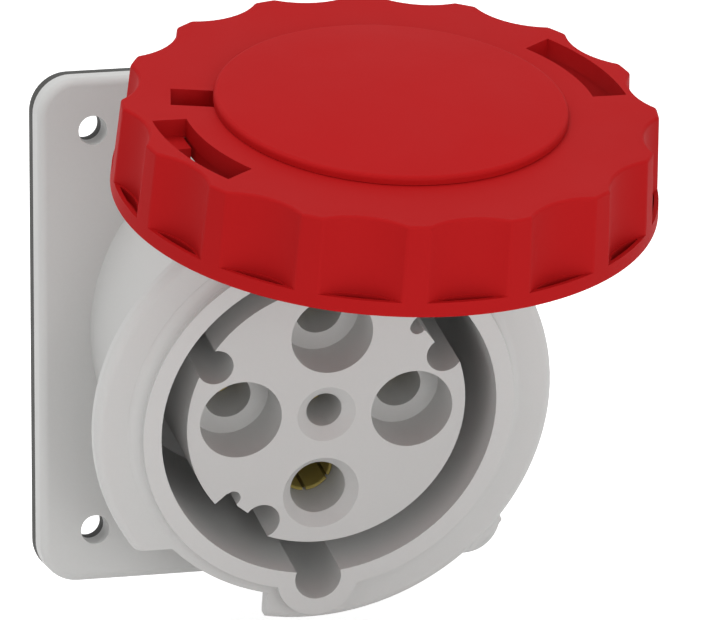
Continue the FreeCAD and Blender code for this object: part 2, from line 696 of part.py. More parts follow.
def main():
    os.makedirs("parts", exist_ok=True)
    nodes = {"housing": make_housing(), "panel_gasket": make_panel_gasket()}
    local = {"insert_body": make_insert_body(), "carrier_ring": make_carrier_ring(), "insert_seal": make_insert_seal(),
             "terminal_block": make_terminal_block(), "block_screws": make_block_screws(),
             "insert_screws": make_insert_screws(), "hinge_pin": make_hinge_pin(),
             "pin_clips": make_pin_clips(), "hinge_washers": make_hinge_washers()}
    local.update(contact_parts())
    lid = {"bayonet_ring": make_bayonet_ring(), "lid_dome": make_lid_dome(), "dome_screws": make_dome_screws(),
           "lid_cap": make_lid_cap(), "lid_seal": make_lid_seal()}
    for name, shape in local.items():
        nodes[name] = on_mouth(shape)
    for name, shape in lid.items():
        nodes[name] = opened(shape)
    for name, shape in nodes.items():
        shape.exportStep("parts/" + name + ".step")
        box = shape.BoundBox
        print(name, len(shape.Solids), shape.isValid(), round(shape.Volume), [round(v, 1) for v in
              (box.XMin, box.XMax, box.YMin, box.YMax, box.ZMin, box.ZMax)])


main()
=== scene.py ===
import json
import math

import bmesh
import bpy
from mathutils import Matrix, Vector

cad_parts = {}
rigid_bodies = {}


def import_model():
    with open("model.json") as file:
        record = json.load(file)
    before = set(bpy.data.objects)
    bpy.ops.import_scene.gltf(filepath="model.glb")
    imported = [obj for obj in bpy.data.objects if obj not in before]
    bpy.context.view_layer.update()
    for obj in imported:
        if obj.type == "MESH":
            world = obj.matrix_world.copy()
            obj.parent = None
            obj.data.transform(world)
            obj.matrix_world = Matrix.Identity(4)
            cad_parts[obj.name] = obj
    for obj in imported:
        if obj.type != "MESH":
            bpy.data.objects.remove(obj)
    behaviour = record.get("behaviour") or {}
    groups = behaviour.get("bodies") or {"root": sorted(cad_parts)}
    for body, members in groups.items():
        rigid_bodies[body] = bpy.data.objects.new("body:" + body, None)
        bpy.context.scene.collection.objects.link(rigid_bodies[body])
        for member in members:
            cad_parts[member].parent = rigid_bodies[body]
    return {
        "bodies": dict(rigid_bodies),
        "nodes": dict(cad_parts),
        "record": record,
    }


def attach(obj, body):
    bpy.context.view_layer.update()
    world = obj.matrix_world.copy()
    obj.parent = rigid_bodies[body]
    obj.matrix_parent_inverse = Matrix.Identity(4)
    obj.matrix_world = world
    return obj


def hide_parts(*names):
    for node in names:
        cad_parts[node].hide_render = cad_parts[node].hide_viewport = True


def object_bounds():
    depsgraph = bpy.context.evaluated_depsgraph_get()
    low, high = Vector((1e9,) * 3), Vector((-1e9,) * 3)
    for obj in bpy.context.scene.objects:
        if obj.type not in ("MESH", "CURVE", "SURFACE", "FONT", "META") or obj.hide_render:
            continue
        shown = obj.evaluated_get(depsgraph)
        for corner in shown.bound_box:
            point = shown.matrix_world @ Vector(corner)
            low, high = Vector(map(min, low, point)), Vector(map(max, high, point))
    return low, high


bl_info = {
    "name": "Industrial panel socket",
    "version": (1, 0, 0),
    "blender": (4, 5, 0),
    "location": "3D View > Sidebar > Socket",
    "description": "Finishes, soft edges and studio for a tilted five-pole panel socket with a screw lid",
    "category": "Object",
}

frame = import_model()
kept = set(frame["nodes"].values()) | set(frame["bodies"].values())
for spare in [o for o in bpy.data.objects if o not in kept]:
    bpy.data.objects.remove(spare)
cad_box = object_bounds()

# Lean of the mouth from the panel's normal, and height of its axis where it meets the panel's plane
TILT = math.radians(14.0)
AXIS_RISE = 0.0017

# Carries a piece from the mouth's own frame, whose Z runs out of the mouth, to the part's frame
MOUTH = Matrix((
    (1.0, 0.0, 0.0, 0.0),
    (0.0, -math.sin(TILT), -math.cos(TILT), 0.0),
    (0.0, math.cos(TILT), -math.sin(TILT), AXIS_RISE),
    (0.0, 0.0, 0.0, 1.0),
))

# Carries a piece of the shut lid, in the mouth's frame, to where it is with the lid open
LID_OPEN = Matrix((
    (1.0, 0.0, 0.0, 0.0),
    (0.0, 0.0, 1.0, 0.0217),
    (0.0, -1.0, 0.0, 0.0794),
    (0.0, 0.0, 0.0, 1.0),
))

# The photograph's size in image points, and the width of the camera's sensor in millimetres
IMAGE_WIDE = 702.0
IMAGE_HIGH = 620.0
SENSOR_WIDE = 36.0

# Edge rounding: closest points are welded and flat faces joined before the edges are rounded
WELD_DISTANCE = 0.000002
FLAT_ANGLE = math.radians(0.4)
EDGE_ANGLE = math.radians(28.0)
EDGE_STEPS = 2

# The Mix node's colour sockets go by place, because its types share their names
MIX_FACTOR, MIX_FIRST, MIX_SECOND, MIX_RESULT = 0, 6, 7, 2

# Sides of a round screw, and its head from the flat top to the seat, as shares of its radius and height
SCREW_SIDES = 32
HEAD_FLAT = 0.66
HEAD_CURVE = ((0.84, 0.93), (0.95, 0.74), (1.0, 0.45), (1.0, 0.08), (0.97, 0.0))
THREAD_DEPTH = 0.28

# Cross recess: reach and half width of its arms at the mouth and at the floor, as shares of the
# head's radius, and the height of its floor as a share of the head's
RECESS_MOUTH = (0.54, 0.15)
RECESS_FLOOR = (0.30, 0.11)
RECESS_LEVEL = 0.25

# Screws in metres: radii of shank and head, length, height of the head and pitch of the thread
INSERT_SCREW = {"shank": 0.00145, "length": 0.0082, "head": 0.0030, "high": 0.0020, "pitch": 0.0011}
BLOCK_SCREW = {"shank": 0.00155, "length": 0.0290, "head": 0.0035, "high": 0.0024, "pitch": 0.0007}
DOME_SCREW = {"shank": 0.00115, "length": 0.0062, "head": 0.0026, "high": 0.0016, "pitch": 0.0009}

# Floor: half its width in metres, its squares to a side, and the glow that lifts it to white
FLOOR_REACH = 6.0
FLOOR_SQUARES = 24
FLOOR_GLOW = 0.62


# Sizes and colours that a user would change

class SocketColours(bpy.types.PropertyGroup):
    housing: bpy.props.FloatVectorProperty(
        name="Housing grey", description="Colour of the flange, tube and bayonet collar",
        subtype="COLOR", size=3, min=0.0, max=1.0, default=(0.60, 0.60, 0.59))
    insert: bpy.props.FloatVectorProperty(
        name="Insert grey", description="Colour of the contact insert and the terminal block",
        subtype="COLOR", size=3, min=0.0, max=1.0, default=(0.565, 0.565, 0.555))
    lid: bpy.props.FloatVectorProperty(
        name="Lid red", description="Colour of the lid's cap and of the bayonet ring",
        subtype="COLOR", size=3, min=0.0, max=1.0, default=(0.42, 0.007, 0.008))
    dome: bpy.props.FloatVectorProperty(
        name="Dome red", description="Colour of the low dome in the middle of the lid",
        subtype="COLOR", size=3, min=0.0, max=1.0, default=(0.43, 0.007, 0.008))
    rubber: bpy.props.FloatVectorProperty(
        name="Rubber black", description="Colour of the panel gasket and the seals",
        subtype="COLOR", size=3, min=0.0, max=1.0, default=(0.055, 0.055, 0.052))
    brass: bpy.props.FloatVectorProperty(
        name="Contact brass", description="Colour of the five contact sleeves",
        subtype="COLOR", size=3, min=0.0, max=1.0, default=(0.50, 0.40, 0.11))
    zinc: bpy.props.FloatVectorProperty(
        name="Zinc plating", description="Colour of the plated screws",
        subtype="COLOR", size=3, min=0.0, max=1.0, default=(0.56, 0.57, 0.58))
    spring: bpy.props.FloatVectorProperty(
        name="Spring steel", description="Colour of the hinge pin, its clips and the contact springs",
        subtype="COLOR", size=3, min=0.0, max=1.0, default=(0.50, 0.50, 0.51))
    nylon: bpy.props.FloatVectorProperty(
        name="Nylon white", description="Colour of the two washers in the hinge",
        subtype="COLOR", size=3, min=0.0, max=1.0, default=(0.80, 0.80, 0.79))


class SocketSurfaces(bpy.types.PropertyGroup):
    edge_round: bpy.props.FloatProperty(
        name="Moulded edge", description="Radius left on the outer edges of the moulded pieces",
        subtype="DISTANCE", unit="LENGTH", min=0.0, max=0.002, default=0.00035)
    metal_edge: bpy.props.FloatProperty(
        name="Metal edge", description="Radius left on the edges of screws, pins and sleeves",
        subtype="DISTANCE", unit="LENGTH", min=0.0, max=0.001, default=0.00012)
    rubber_edge: bpy.props.FloatProperty(
        name="Rubber edge", description="Radius left on the edges of the gasket and the seals",
        subtype="DISTANCE", unit="LENGTH", min=0.0, max=0.002, default=0.0005)
    grain_size: bpy.props.FloatProperty(
        name="Grain size",
        description="Width of one grain of the spark-eroded surface on the grey mouldings",
        subtype="DISTANCE", unit="LENGTH", min=0.00005, max=0.002, default=0.00035)
    grain_depth: bpy.props.FloatProperty(
        name="Grain depth", description="Depth of that grain",
        subtype="DISTANCE", unit="LENGTH", min=0.0, max=0.0002, default=0.00001)


class SocketStudio(bpy.types.PropertyGroup):
    azimuth: bpy.props.FloatProperty(
        name="Azimuth", description="Turn of the camera round the upright axis",
        subtype="ANGLE", unit="ROTATION", default=math.radians(-15.80923))
    elevation: bpy.props.FloatProperty(
        name="Elevation", description="Height of the camera above the horizon, as an angle",
        subtype="ANGLE", unit="ROTATION", default=math.radians(12.99576))
    distance: bpy.props.FloatProperty(
        name="Distance", description="Distance from the camera to the origin, along the line of sight",
        subtype="DISTANCE", unit="LENGTH", min=0.2, max=10.0, default=2.0646556)
    scale: bpy.props.FloatProperty(
        name="Scale", description="Image points to a millimetre at the origin, in an image 702 points wide",
        min=0.1, max=50.0, default=4.7794224)
    origin_right: bpy.props.FloatProperty(
        name="Origin from the left",
        description="Where the origin falls in the image, in points from the left",
        min=0.0, max=IMAGE_WIDE, default=262.32576)
    origin_down: bpy.props.FloatProperty(
        name="Origin from the top",
        description="Where the origin falls in the image, in points from the top",
        min=0.0, max=IMAGE_HIGH, default=310.60561)
    room_light: bpy.props.FloatProperty(
        name="Room light", description="Strength of the even light from all round",
        min=0.0, max=2.0, default=0.66)
    key_light: bpy.props.FloatProperty(
        name="Overhead light", description="Power of the large lamp above the socket, in watts",
        min=0.0, max=200.0, default=7.4)
    side_light: bpy.props.FloatProperty(
        name="Side light", description="Power of the soft lamp at the left, in watts",
        min=0.0, max=200.0, default=0.4)
    front_light: bpy.props.FloatProperty(
        name="Front light", description="Power of the soft lamp in front, near the camera, in watts",
        min=0.0, max=200.0, default=1.8)
    low_light: bpy.props.FloatProperty(
        name="Low light", description="Power of the small soft lamp in front, near the floor, in watts",
        min=0.0, max=200.0, default=0.8)
    floor_gap: bpy.props.FloatProperty(
        name="Floor gap",
        description="Space under the open socket, in which the lid's rim comes down as it shuts",
        subtype="DISTANCE", unit="LENGTH", min=0.0, max=0.1, default=0.0086)


# Shared effects, each a node group

def effect(name, inputs, outputs):
    """An empty node group with these sockets, its input node and its output node."""
    group = bpy.data.node_groups.new(name, "ShaderNodeTree")
    for label, kind, value in inputs:
        socket = group.interface.new_socket(name=label, in_out="INPUT", socket_type=kind)
        if value is not None:
            socket.default_value = value
    for label, kind in outputs:
        group.interface.new_socket(name=label, in_out="OUTPUT", socket_type=kind)
    given = group.nodes.new("NodeGroupInput")
    given.location = (-900, 0)
    result = group.nodes.new("NodeGroupOutput")
    result.location = (700, 0)
    return group, given, result


def math_node(tree, operation, first, second):
    """A Math node whose inputs are sockets or numbers; returns its output socket."""
    node = tree.nodes.new("ShaderNodeMath")
    node.operation = operation
    for slot, value in enumerate((first, second)):
        if isinstance(value, bpy.types.NodeSocket):
            tree.links.new(value, node.inputs[slot])
        else:
            node.inputs[slot].default_value = value
    return node.outputs[0]


def noise_node(tree, place, scale, detail=2.0, roughness=0.5):
    """A Noise texture at a place and scale; returns its value, about 0.5 on average."""
    node = tree.nodes.new("ShaderNodeTexNoise")
    node.inputs["Detail"].default_value = detail
    node.inputs["Roughness"].default_value = roughness
    tree.links.new(place, node.inputs["Vector"])
    if isinstance(scale, bpy.types.NodeSocket):
        tree.links.new(scale, node.inputs["Scale"])
    else:
        node.inputs["Scale"].default_value = scale
    return node.outputs["Fac"]


def make_moulded_grain():
    """The fine matt grain that a spark-eroded mould leaves on plastic."""
    tree, given, result = effect(
        "moulded_grain",
        [("Grain Scale", "NodeSocketFloat", 2800.0)],
        [("Height", "NodeSocketFloat"), ("Speckle", "NodeSocketFloat")])
    place = tree.nodes.new("ShaderNodeTexCoord").outputs["Object"]
    fine = noise_node(tree, place, given.outputs["Grain Scale"], 2.0, 0.55)
    wider = math_node(tree, "MULTIPLY", given.outputs["Grain Scale"], 0.31)
    coarse = noise_node(tree, place, wider, 1.0)
    height = math_node(tree, "ADD", math_node(tree, "MULTIPLY", fine, 0.7),
                       math_node(tree, "MULTIPLY", coarse, 0.3))
    tree.links.new(height, result.inputs["Height"])
    tree.links.new(fine, result.inputs["Speckle"])
    return tree


def make_flow_tone():
    """Soft, wide changes of tone, as where plastic flowed into the mould, with a faint speckle."""
    tree, given, result = effect(
        "flow_tone",
        [("Color", "NodeSocketColor", (0.5, 0.5, 0.5, 1.0)), ("Flow", "NodeSocketFloat", 0.03),
         ("Speckle", "NodeSocketFloat", 0.02)],
        [("Color", "NodeSocketColor")])
    place = tree.nodes.new("ShaderNodeTexCoord").outputs["Object"]
    wide = math_node(tree, "SUBTRACT", noise_node(tree, place, 26.0, 3.0, 0.55), 0.5)
    dots = math_node(tree, "SUBTRACT", noise_node(tree, place, 1900.0, 1.0), 0.5)
    shift = math_node(tree, "ADD", math_node(tree, "MULTIPLY", wide, given.outputs["Flow"]),
                      math_node(tree, "MULTIPLY", dots, given.outputs["Speckle"]))
    gain = math_node(tree, "ADD", math_node(tree, "MULTIPLY", shift, 2.0), 1.0)
    toned = tree.nodes.new("ShaderNodeHueSaturation")
    tree.links.new(given.outputs["Color"], toned.inputs["Color"])
    tree.links.new(gain, toned.inputs["Value"])
    tree.links.new(toned.outputs["Color"], result.inputs["Color"])
    return tree


def make_handled_sheen():
    """Roughness that changes softly over a surface, as where hands have polished it."""
    tree, given, result = effect(
        "handled_sheen",
        [("Roughness", "NodeSocketFloat", 0.45), ("Spread", "NodeSocketFloat", 0.06),
         ("Patch Scale", "NodeSocketFloat", 60.0)],
        [("Roughness", "NodeSocketFloat")])
    place = tree.nodes.new("ShaderNodeTexCoord").outputs["Object"]
    cloud = noise_node(tree, place, given.outputs["Patch Scale"], 4.0, 0.6)
    patch = math_node(tree, "SUBTRACT", cloud, 0.5)
    swing = math_node(tree, "MULTIPLY", math_node(tree, "MULTIPLY", patch, 2.0),
                      given.outputs["Spread"])
    uneven = math_node(tree, "ADD", given.outputs["Roughness"], swing)
    tree.links.new(uneven, result.inputs["Roughness"])
    return tree


def make_turned_lines():
    """The fine rings that a lathe leaves round a turned piece whose axis is the mouth's."""
    tree, given, result = effect(
        "turned_lines",
        [("Line Scale", "NodeSocketFloat", 7000.0)],
        [("Height", "NodeSocketFloat"), ("Tone", "NodeSocketFloat")])
    place = tree.nodes.new("ShaderNodeTexCoord").outputs["Object"]
    turn = tree.nodes.new("ShaderNodeMapping")
    turn.vector_type = "TEXTURE"
    turn.inputs["Rotation"].default_value = (math.pi / 2.0 + TILT, 0.0, 0.0)
    tree.links.new(place, turn.inputs["Vector"])
    parts = tree.nodes.new("ShaderNodeSeparateXYZ")
    tree.links.new(turn.outputs["Vector"], parts.inputs["Vector"])
    along = tree.nodes.new("ShaderNodeCombineXYZ")
    for axis, scale in (("X", 90.0), ("Y", 90.0), ("Z", given.outputs["Line Scale"])):
        tree.links.new(math_node(tree, "MULTIPLY", parts.outputs[axis], scale), along.inputs[axis])
    lines = noise_node(tree, along.outputs["Vector"], 1.0, 2.0, 0.6)
    tree.links.new(lines, result.inputs["Height"])
    tree.links.new(lines, result.inputs["Tone"])
    return tree


EFFECT_MAKERS = {
    "moulded_grain": make_moulded_grain,
    "flow_tone": make_flow_tone,
    "handled_sheen": make_handled_sheen,
    "turned_lines": make_turned_lines,
}


def place_effect(tree, name, values):
    """Puts a shared effect into a material, with numbers or colours for its inputs."""
    group = bpy.data.node_groups.get(name) or EFFECT_MAKERS[name]()
    node = tree.nodes.new("ShaderNodeGroup")
    node.node_tree = group
    for label, value in values.items():
        node.inputs[label].default_value = value
    return node


# Finishes

def blank_finish(name):
    """A new material with its shader ready; returns the material, its tree and the shader."""
    material = bpy.data.materials.new(name)
    material.use_nodes = True
    tree = material.node_tree
    shader = tree.nodes["Principled BSDF"]
    return material, tree, shader


def bump(tree, shader, height, distance):
    """Feeds a height into the shader's normal, with its depth in metres."""
    node = tree.nodes.new("ShaderNodeBump")
    node.inputs["Strength"].default_value = 1.0
    node.inputs["Distance"].default_value = distance
    tree.links.new(height, node.inputs["Height"])
    tree.links.new(node.outputs["Normal"], shader.inputs["Normal"])


def tone_of(tree, colour, flow, speckle):
    """The shared change of tone on one colour; returns its output socket."""
    values = {"Color": (*colour, 1.0), "Flow": flow, "Speckle": speckle}
    return place_effect(tree, "flow_tone", values).outputs["Color"]


def sheen_into(tree, shader, roughness, spread, patch_scale):
    """Feeds the shared uneven roughness into the shader."""
    values = {"Roughness": roughness, "Spread": spread, "Patch Scale": patch_scale}
    sheen = place_effect(tree, "handled_sheen", values)
    tree.links.new(sheen.outputs["Roughness"], shader.inputs["Roughness"])


def grain_into(tree, shader, grain_scale, depth):
    """Feeds the shared moulded grain into the shader's normal."""
    grain = place_effect(tree, "moulded_grain", {"Grain Scale": grain_scale})
    bump(tree, shader, grain.outputs["Height"], depth)


def moulded_finish(name, colour, roughness, grain_size, grain_depth, flow=0.03, specular=0.5):
    """Satin moulded plastic."""
    material, tree, shader = blank_finish(name)
    tree.links.new(tone_of(tree, colour, flow, 0.015), shader.inputs["Base Color"])
    sheen_into(tree, shader, roughness, 0.07, 55.0)
    grain_into(tree, shader, 1.0 / grain_size, grain_depth)
    shader.inputs["Specular IOR Level"].default_value = specular
    return material


def rubber_finish(name, colour):
    """Matt rubber with a faint bloom."""
    material, tree, shader = blank_finish(name)
    tree.links.new(tone_of(tree, colour, 0.12, 0.10), shader.inputs["Base Color"])
    sheen_into(tree, shader, 0.72, 0.10, 140.0)
    grain_into(tree, shader, 2200.0, 0.00004)
    shader.inputs["Specular IOR Level"].default_value = 0.35
    return material


def turned_finish(name, colour, roughness, dark, metallic):
    """Turned metal: fine rings round the mouth's axis, with tarnish between them."""
    material, tree, shader = blank_finish(name)
    rings = place_effect(tree, "turned_lines", {"Line Scale": 5200.0})
    toned = tone_of(tree, colour, 0.10, 0.03)
    mix = tree.nodes.new("ShaderNodeMix")
    mix.data_type = "RGBA"
    mix.inputs[MIX_SECOND].default_value = (*[c * dark for c in colour], 1.0)
    tarnish = math_node(tree, "MULTIPLY", rings.outputs["Tone"], 0.55)
    tree.links.new(tarnish, mix.inputs[MIX_FACTOR])
    tree.links.new(toned, mix.inputs[MIX_FIRST])
    tree.links.new(mix.outputs[MIX_RESULT], shader.inputs["Base Color"])
    sheen_into(tree, shader, roughness, 0.08, 220.0)
    bump(tree, shader, rings.outputs["Height"], 0.000012)
    shader.inputs["Metallic"].default_value = metallic
    return material


def plated_finish(name, colour, roughness):
    """Zinc-plated or drawn steel with a cloudy sheen."""
    material, tree, shader = blank_finish(name)
    tree.links.new(tone_of(tree, colour, 0.14, 0.05), shader.inputs["Base Color"])
    sheen_into(tree, shader, roughness, 0.12, 420.0)
    grain_into(tree, shader, 4200.0, 0.000006)
    shader.inputs["Metallic"].default_value = 1.0
    return material


def finish_for(slot):
    """The material of a slot in the record, made the first time that it is asked for."""
    name = slot + "_finish"
    ready = bpy.data.materials.get(name)
    if ready:
        return ready
    colours = bpy.context.scene.socket_colours
    surfaces = bpy.context.scene.socket_surfaces
    size, depth = surfaces.grain_size, surfaces.grain_depth
    if slot == "grey_moulding":
        return moulded_finish(name, colours.housing, 0.48, size, depth, specular=0.3)
    if slot == "grey_insert":
        return moulded_finish(name, colours.insert, 0.46, size * 0.8, depth * 0.8, specular=0.3)
    if slot == "red_moulding":
        return moulded_finish(name, colours.lid, 0.64, size, depth * 0.8, flow=0.04, specular=0.08)
    if slot == "red_dome":
        return moulded_finish(name, colours.dome, 0.66, size, depth, flow=0.04, specular=0.08)
    if slot == "black_rubber":
        return rubber_finish(name, colours.rubber)
    if slot == "contact_brass":
        return turned_finish(name, colours.brass, 0.42, 0.7, 0.35)
    if slot == "zinc_steel":
        return plated_finish(name, colours.zinc, 0.36)
    if slot == "spring_steel":
        return plated_finish(name, colours.spring, 0.28)
    if slot == "white_washer":
        return moulded_finish(name, colours.nylon, 0.5, size, depth)
    raise RuntimeError("No finish is written for the slot " + slot)


# Mesh work on the carried-over solids

def solid(name):
    """A CAD node's object."""
    if name not in frame["nodes"]:
        raise RuntimeError("The packed model has no node named " + name)
    return frame["nodes"][name]


def slot_of(name):
    """The material slot that the record gives a node."""
    for part in frame["record"]["subparts"]:
        if part["node"] == name:
            return part["material_slot"]
    raise RuntimeError("The record gives no slot for " + name)


def smooth(obj):
    """Shades every face of an object smoothly."""
    for face in obj.data.polygons:
        face.use_smooth = True


def dress(name, radius):
    """Gives a CAD node its finish and rounds its sharp edges with modifiers."""
    obj = solid(name)
    obj.data.materials.clear()
    obj.data.materials.append(finish_for(slot_of(name)))
    if radius > 0.0:
        weld = obj.modifiers.new("weld", "WELD")
        weld.merge_threshold = WELD_DISTANCE
        flat = obj.modifiers.new("flat faces", "DECIMATE")
        flat.decimate_type = "DISSOLVE"
        flat.angle_limit = FLAT_ANGLE
        edge = obj.modifiers.new("edge round", "BEVEL")
        edge.width = radius
        edge.segments = EDGE_STEPS
        edge.limit_method = "ANGLE"
        edge.angle_limit = EDGE_ANGLE
        edge.miter_outer = "MITER_ARC"
        edge.use_clamp_overlap = True
        edge.harden_normals = False
        normal = obj.modifiers.new("even shading", "WEIGHTED_NORMAL")
        normal.keep_sharp = False
    smooth(obj)


# Pieces made here

def from_mouth(obj, body, slot, *nodes):
    """Moves a piece from the mouth's frame into place, gives it its slot's finish, ties it to its body and
    hides the nodes that it stands for.
    """
    obj.data.transform(MOUTH)
    obj.data.materials.append(finish_for(slot))
    smooth(obj)
    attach(obj, body)
    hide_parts(*nodes)


def add_object(name, mesh_maker):
    """A new mesh object whose mesh the given function fills."""
    mesh = bpy.data.meshes.new(name)
    shape = bmesh.new()
    mesh_maker(shape)
    bmesh.ops.recalc_face_normals(shape, faces=shape.faces)
    shape.to_mesh(mesh)
    shape.free()
    obj = bpy.data.objects.new(name, mesh)
    bpy.context.scene.collection.objects.link(obj)
    return obj


def ring_of(shape, radius, height):
    """A level ring of vertices, or one vertex where the radius is zero."""
    if radius <= 0.0:
        return [shape.verts.new((0.0, 0.0, height))]
    ring = []
    for k in range(SCREW_SIDES):
        turn = 2.0 * math.pi * k / SCREW_SIDES
        ring.append(shape.verts.new((radius * math.cos(turn), radius * math.sin(turn), height)))
    return ring


def skin_between(shape, low, high):
    """Faces between two rings of vertices, of which the high one may be a single point."""
    steps = len(low)
    for k in range(steps):
        after = (k + 1) % steps
        if len(high) == 1:
            shape.faces.new((low[k], low[after], high[0]))
        else:
            shape.faces.new((low[k], low[after], high[after], high[k]))


def cross_loop(shape, reach, half, height):
    """The twelve corners of a cross recess at one depth."""
    quarter = [(reach, -half), (reach, half), (half, half)]
    loop = []
    for turn in range(4):
        c, s = (1, 0, -1, 0)[turn], (0, 1, 0, -1)[turn]
        loop += [shape.verts.new((c * x - s * y, s * x + c * y, height)) for x, y in quarter]
    return loop


def loop_edges(shape, loop):
    """The edges round a closed loop of vertices, made where they are missing."""
    pairs = zip(loop, loop[1:] + loop[:1])
    return [shape.edges.get(pair) or shape.edges.new(pair) for pair in pairs]


def pan_head_screw(shape, place, shank, length, head, high, pitch):
    """A pan-head screw with a cross recess and a rolled thread: its seat is at zero, its shank up."""
    start = len(shape.verts)
    land = ring_of(shape, head * HEAD_FLAT, -high)
    rings = [land]
    for share, rise in HEAD_CURVE:
        rings.append(ring_of(shape, head * share, -high * rise))
    rings.append(ring_of(shape, shank, 0.0))
    root = shank - pitch * THREAD_DEPTH
    level = pitch
    while level < length - 2.0 * pitch:
        rings.append(ring_of(shape, shank, level))
        rings.append(ring_of(shape, root, level + pitch * 0.5))
        level += pitch
    rings.append(ring_of(shape, root, length - pitch))
    rings.append(ring_of(shape, shank * 0.35, length))
    rings.append(ring_of(shape, 0.0, length))
    for low_ring, high_ring in zip(rings, rings[1:]):
        skin_between(shape, low_ring, high_ring)
    recess = cross_loop(shape, *[head * share for share in RECESS_MOUTH], -high)
    floor = cross_loop(shape, *[head * share for share in RECESS_FLOOR], -high * RECESS_LEVEL)
    skin_between(shape, recess, floor)
    bmesh.ops.triangle_fill(
        shape, use_beauty=True, edges=loop_edges(shape, recess) + loop_edges(shape, land))
    shape.faces.new(floor)
    shape.verts.ensure_lookup_table()
    for vert in shape.verts[start:]:
        vert.co = place @ vert.co


def screw_set(name, seats, sizes):
    """One object with a screw at every seat."""
    def fill(shape):
        for seat in seats:
            pan_head_screw(shape, seat, **sizes)
    obj = add_object(name, fill)
    edge = obj.modifiers.new("edge round", "BEVEL")
    edge.width = 0.00006
    edge.segments = 1
    edge.limit_method = "ANGLE"
    edge.angle_limit = math.radians(50.0)
    return obj


def seats_on_circle(radius, height, angles):
    """Places on a circle round the mouth's axis, each turned differently, as a hand leaves screws."""
    seats = []
    for k, angle in enumerate(angles):
        turn = math.radians(angle)
        spot = Matrix.Translation((radius * math.cos(turn), radius * math.sin(turn), height))
        seats.append(spot @ Matrix.Rotation(math.radians(23.0 + 37.0 * k), 4, "Z"))
    return seats


# Stage

def seen_rays(tree):
    """One for rays from the camera, off gloss and through glass, and zero for all others."""
    rays = tree.nodes.new("ShaderNodeLightPath")
    bent = math_node(tree, "MAXIMUM", rays.outputs["Is Glossy Ray"],
                     rays.outputs["Is Transmission Ray"])
    return math_node(tree, "MAXIMUM", rays.outputs["Is Camera Ray"], bent)


def stage_floor(lowest, gap):
    """A wide floor that fades to white and keeps the socket's soft shadow."""
    def fill(shape):
        spots = [-FLOOR_REACH + 2.0 * FLOOR_REACH * k / FLOOR_SQUARES
                 for k in range(FLOOR_SQUARES + 1)]
        rows = [[shape.verts.new((x, y, 0.0)) for x in spots] for y in spots]
        for near, far in zip(rows, rows[1:]):
            for i in range(FLOOR_SQUARES):
                shape.faces.new((near[i], near[i + 1], far[i + 1], far[i]))
    floor = add_object("floor", fill)
    floor.location.z = lowest - gap
    material, tree, shader = blank_finish("pale_floor")
    shader.inputs["Base Color"].default_value = (0.90, 0.90, 0.90, 1.0)
    shader.inputs["Roughness"].default_value = 0.95
    shader.inputs["Specular IOR Level"].default_value = 0.0
    place = tree.nodes.new("ShaderNodeTexCoord").outputs["Object"]
    paper = noise_node(tree, place, 900.0, 3.0)
    bump(tree, shader, paper, 0.00005)
    white = tree.nodes.new("ShaderNodeEmission")
    glow = math_node(tree, "MULTIPLY", seen_rays(tree), FLOOR_GLOW)
    tree.links.new(glow, white.inputs["Strength"])
    both = tree.nodes.new("ShaderNodeAddShader")
    tree.links.new(shader.outputs["BSDF"], both.inputs[0])
    tree.links.new(white.outputs["Emission"], both.inputs[1])
    tree.links.new(both.outputs["Shader"], tree.nodes["Material Output"].inputs["Surface"])
    floor.data.materials.append(material)


def stage_room(strength):
    """Even light from all round, seen as plain white by the camera and in reflections."""
    world = bpy.data.worlds.new("studio")
    bpy.context.scene.world = world
    world.use_nodes = True
    tree = world.node_tree
    soft = tree.nodes["Background"]
    soft.inputs["Color"].default_value = (1.0, 1.0, 1.0, 1.0)
    soft.inputs["Strength"].default_value = strength
    white = tree.nodes.new("ShaderNodeBackground")
    white.inputs["Color"].default_value = (1.0, 1.0, 1.0, 1.0)
    white.inputs["Strength"].default_value = 1.0
    mix = tree.nodes.new("ShaderNodeMixShader")
    tree.links.new(seen_rays(tree), mix.inputs["Fac"])
    tree.links.new(soft.outputs["Background"], mix.inputs[1])
    tree.links.new(white.outputs["Background"], mix.inputs[2])
    tree.links.new(mix.outputs["Shader"], tree.nodes["World Output"].inputs["Surface"])


def stage_lamp(name, power, size, place, target):
    """A square soft lamp at a place, turned towards a target."""
    lamp = bpy.data.lights.new(name, "AREA")
    lamp.shape = "SQUARE"
    lamp.size = size
    lamp.energy = power
    obj = bpy.data.objects.new(name, lamp)
    bpy.context.scene.collection.objects.link(obj)
    obj.location = place
    obj.rotation_euler = (Vector(target) - Vector(place)).to_track_quat("-Z", "Y").to_euler()


def stage_camera(studio):
    """The camera at the photograph's angle and framing."""
    azimuth, elevation = studio.azimuth, studio.elevation
    right = Vector((math.cos(azimuth), math.sin(azimuth), 0.0))
    back = Vector((
        math.sin(azimuth) * math.cos(elevation),
        -math.cos(azimuth) * math.cos(elevation),
        math.sin(elevation)))
    up = back.cross(right)
    # The camera moves aside so that the origin falls where the photograph has it, with no shift
    across = (studio.origin_right - IMAGE_WIDE / 2.0) / studio.scale * 0.001
    above = -(studio.origin_down - IMAGE_HIGH / 2.0) / studio.scale * 0.001
    camera = bpy.data.cameras.new("camera")
    camera.sensor_fit = "HORIZONTAL"
    camera.sensor_width = SENSOR_WIDE
    camera.lens = SENSOR_WIDE * studio.scale * studio.distance * 1000.0 / IMAGE_WIDE
    camera.clip_end = 60.0
    obj = bpy.data.objects.new("camera", camera)
    bpy.context.scene.collection.objects.link(obj)
    place = back * studio.distance - right * across - up * above
    turn = Matrix((right, up, back)).transposed()
    obj.matrix_world = Matrix.Translation(place) @ turn.to_4x4()
    bpy.context.scene.camera = obj


# Operators, one for each piece or group of like pieces

